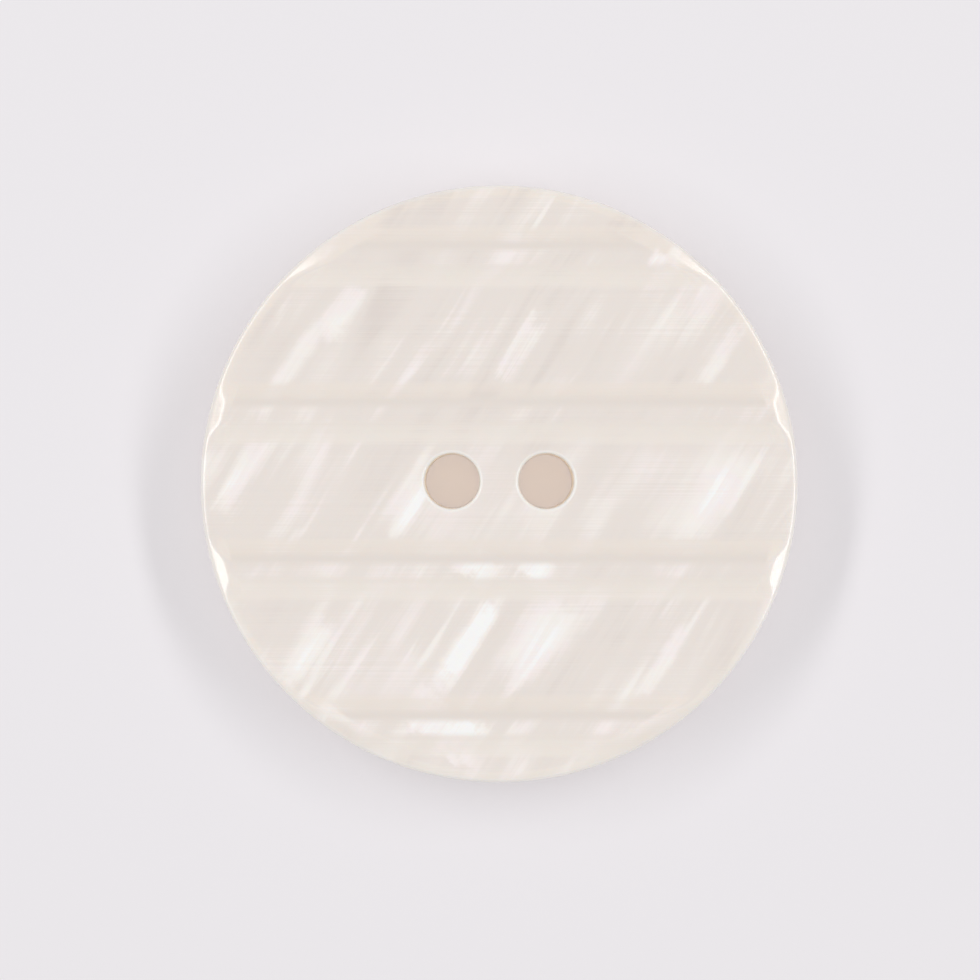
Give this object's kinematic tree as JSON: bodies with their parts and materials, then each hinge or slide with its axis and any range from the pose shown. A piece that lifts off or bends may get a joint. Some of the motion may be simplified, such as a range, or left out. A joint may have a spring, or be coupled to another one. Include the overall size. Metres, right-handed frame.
{
  "type": "sew on button",
  "caption": "Round flat sew-on button with shallow flutes across its front; thread through the holes in its middle holds it on cloth, and its back rests on the cloth.",
  "frame": {"origin": "on the disc's axis, at the level of its flat back face", "axes": "+Z out of the fluted front face, +X along the flutes and along the line of the sewing holes"},
  "size_m": [0.0254, 0.0254, 0.0032],
  "materials": {
    "pearl_polyester": "cast pearl polyester, cream, polished, with soft slanting pearl streaks"
  },
  "bodies": {
    "root": {"button_body": "pearl_polyester"}
  },
  "joints": []
}
